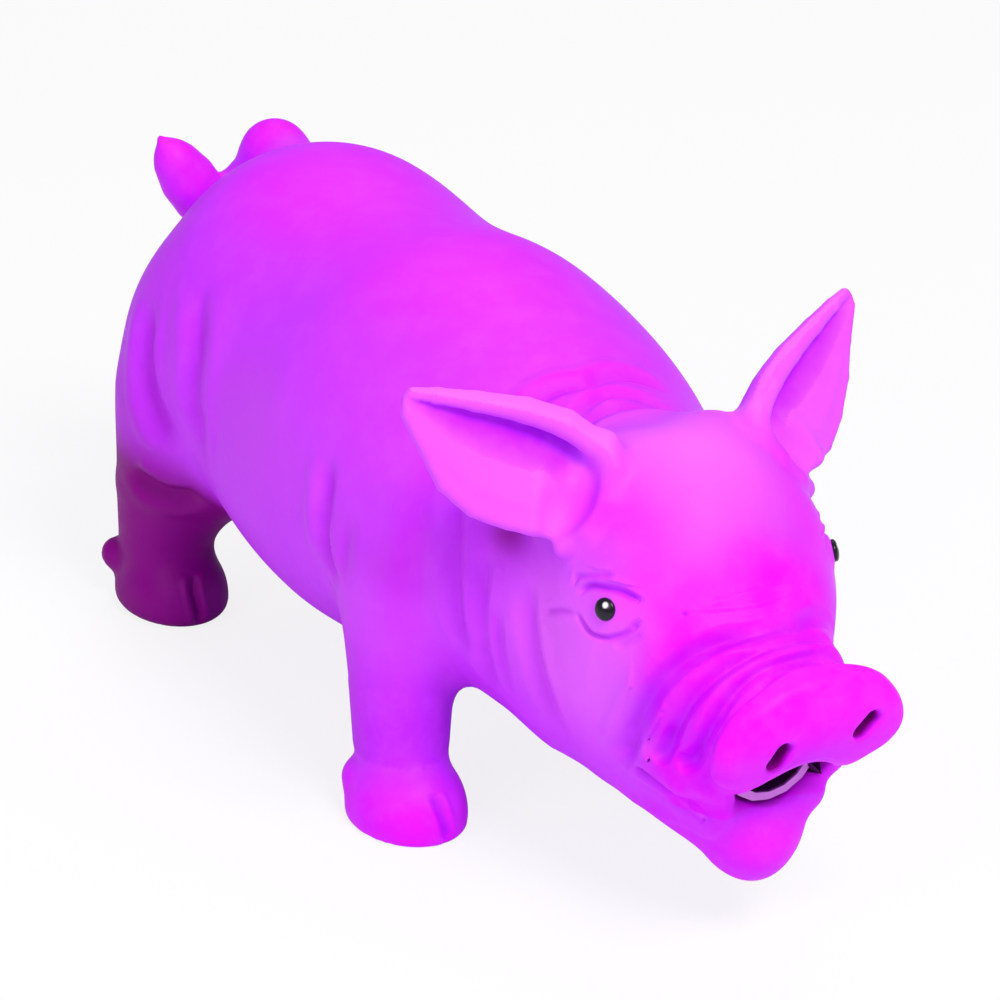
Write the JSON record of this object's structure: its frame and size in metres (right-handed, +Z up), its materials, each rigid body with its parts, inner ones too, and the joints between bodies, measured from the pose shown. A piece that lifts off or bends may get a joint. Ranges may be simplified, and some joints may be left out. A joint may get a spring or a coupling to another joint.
{
  "type": "pig dog toy",
  "caption": "Hollow latex pig on four legs with a ridged snout, cupped ears and curly tail, stuffed with fibre, with a reed grunter in its mouth for a dog to squeeze.",
  "frame": {"origin": "on the surface it stands on, under the middle of the bounding box", "axes": "+Z up, -Y towards the snout, +X towards the pig's left side"},
  "size_m": [0.1004, 0.2298, 0.105],
  "materials": {
    "torso_skin": "satin dipped latex, slightly airbrushed",
    "head_skin": "satin dipped latex, slightly airbrushed",
    "snout_skin": "satin dipped latex, slightly airbrushed",
    "lower_jaw_skin": "satin dipped latex, slightly airbrushed",
    "ear_left": "satin dipped latex, slightly airbrushed",
    "ear_right": "satin dipped latex, slightly airbrushed",
    "leg_front_left": "satin dipped latex, slightly airbrushed",
    "leg_front_right": "satin dipped latex, slightly airbrushed",
    "leg_rear_left": "satin dipped latex, slightly airbrushed",
    "leg_rear_right": "satin dipped latex, slightly airbrushed",
    "tail": "satin dipped latex, slightly airbrushed",
    "filling": "loose white polyester fibre",
    "eye": "glossy black enamel dot",
    "tube": "moulded polyethylene",
    "reed_parts": "moulded polyethylene",
    "reed": "thin clear-white film"
  },
  "bodies": {
    "pig": {"torso_skin": "torso_skin", "head_skin": "head_skin", "snout_skin": "snout_skin", "lower_jaw_skin": "lower_jaw_skin", "leg_front_left": "leg_front_left", "leg_front_right": "leg_front_right", "leg_rear_left": "leg_rear_left", "leg_rear_right": "leg_rear_right", "filling_body": "filling", "filling_head": "filling", "eye_left": "eye", "eye_right": "eye", "grunter_tube": "tube", "reed_seat": "reed_parts", "reed_clamp": "reed_parts", "rear_screen": "reed_parts"},
    "ear_left": {"ear_left": "ear_left"},
    "ear_right": {"ear_right": "ear_right"},
    "tail": {"tail": "tail"},
    "reed": {"reed": "reed"}
  },
  "joints": [
    {"name": "ear_left_flex", "type": "hinge", "parent": "pig", "child": "ear_left", "pos_m": [0.02215, -0.06582, 0.0851], "axis": [-0.6033, 0.114, 0.7893], "range_deg": [-30, 35], "stiffness_Nm_per_rad": 0.03},
    {"name": "ear_right_flex", "type": "hinge", "parent": "pig", "child": "ear_right", "pos_m": [-0.02215, -0.06582, 0.0851], "axis": [-0.6033, -0.114, -0.7893], "range_deg": [-30, 35], "stiffness_Nm_per_rad": 0.03},
    {"name": "tail_flex", "type": "hinge", "parent": "pig", "child": "tail", "pos_m": [0.00544, 0.09828, 0.08997], "axis": [1, 0, 0], "range_deg": [-3, 25], "stiffness_Nm_per_rad": 0.05},
    {"name": "reed_flex", "type": "hinge", "parent": "pig", "child": "reed", "pos_m": [0, -0.08545, 0.04316], "axis": [1, 0, 0], "range_deg": [-1.5, 4], "stiffness_Nm_per_rad": 0.0005}
  ]
}
